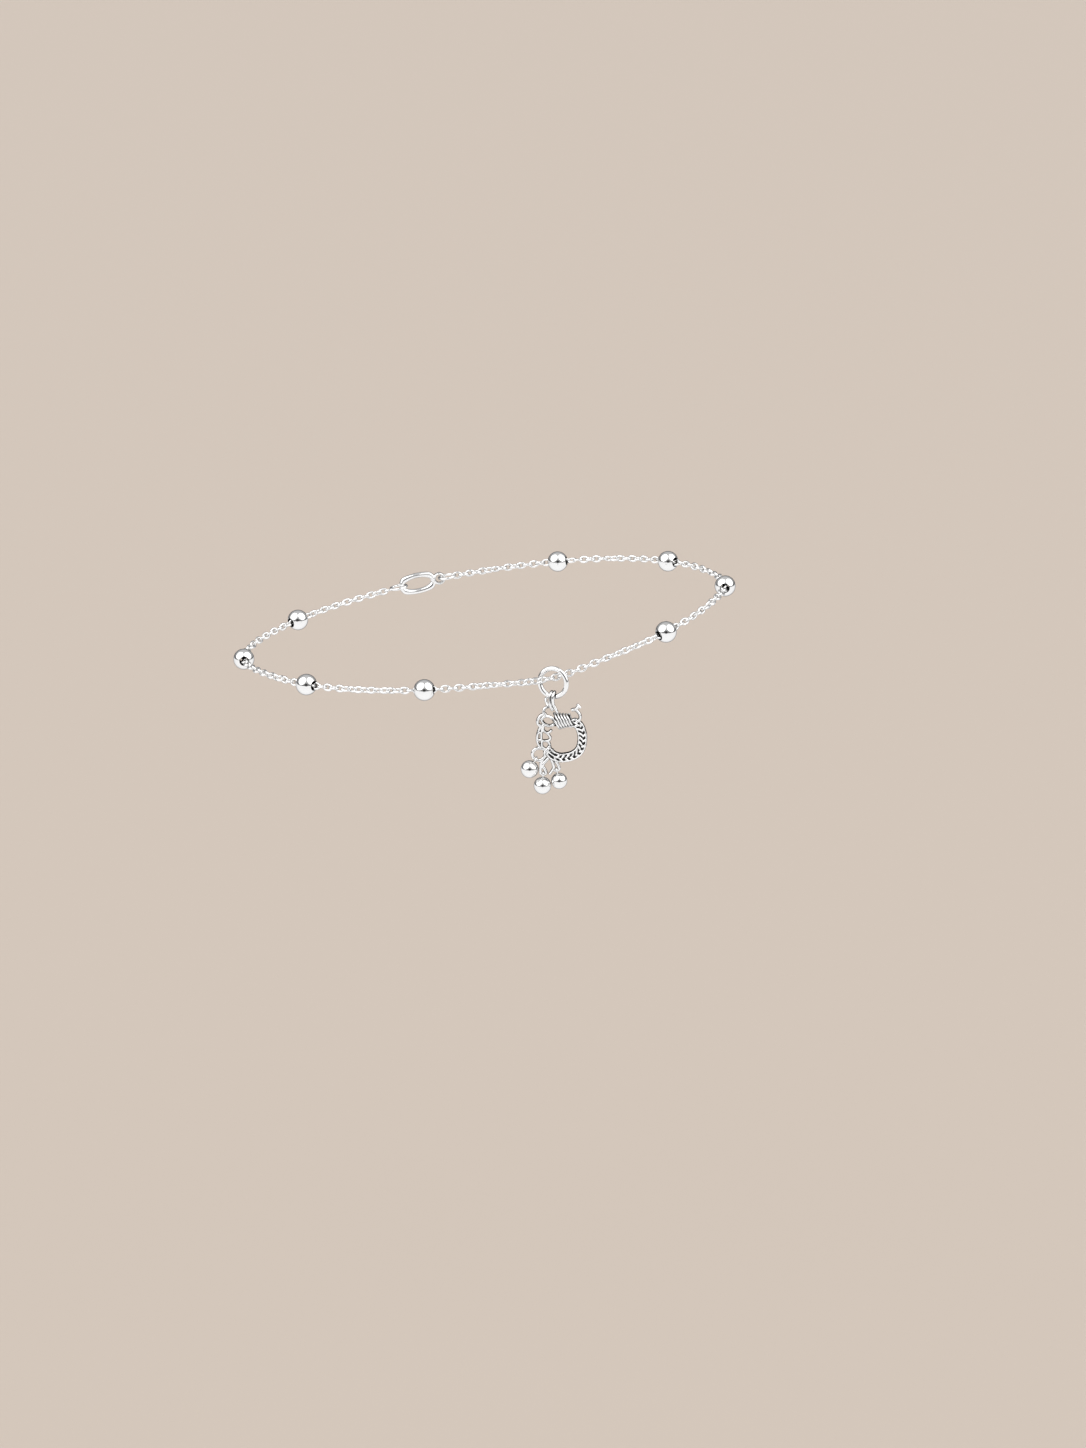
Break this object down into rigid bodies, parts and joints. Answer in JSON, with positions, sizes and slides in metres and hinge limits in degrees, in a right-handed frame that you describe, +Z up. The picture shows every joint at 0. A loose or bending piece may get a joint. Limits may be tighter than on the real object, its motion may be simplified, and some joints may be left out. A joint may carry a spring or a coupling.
{
  "type": "payal anklet",
  "caption": "Fine cable-chain anklet with drilled station beads, a rear clasp and a jump ring that carries a wire-wrapped hoop charm with ball drops.",
  "frame": {"origin": "middle of the loop, where the ankle passes through", "axes": "+Z up the leg, +X to the right of the front view, -Y towards the front, where the charm hangs"},
  "size_m": [0.0962, 0.0647, 0.036],
  "materials": {
    "polished_silver": "polished sterling silver with fine handling marks",
    "oxidised_silver": "polished sterling silver with blackened recesses"
  },
  "bodies": {
    "anklet": {"chain": "polished_silver", "bead_right_1": "polished_silver", "bead_right_2": "polished_silver", "bead_right_3": "polished_silver", "bead_right_4": "polished_silver", "bead_left_1": "polished_silver", "bead_left_2": "polished_silver", "bead_left_3": "polished_silver", "bead_left_4": "polished_silver", "clasp": "polished_silver"},
    "ring": {"jump_ring": "polished_silver"},
    "charm": {"bail": "oxidised_silver", "hoop": "oxidised_silver", "ball_left": "polished_silver", "ball_middle": "polished_silver", "ball_right": "polished_silver"}
  },
  "joints": [
    {"name": "ring_swing", "type": "hinge", "parent": "anklet", "child": "ring", "pos_m": [0.0132, -0.0297, -0.00395], "axis": [-0.9643, -0.1829, -0.1915], "range_deg": [-15, 90]},
    {"name": "charm_swing", "type": "hinge", "parent": "ring", "child": "charm", "pos_m": [0.0132, -0.0297, -0.00485], "axis": [0.3907, 0.9205, 0], "range_deg": [-40, 40]}
  ]
}
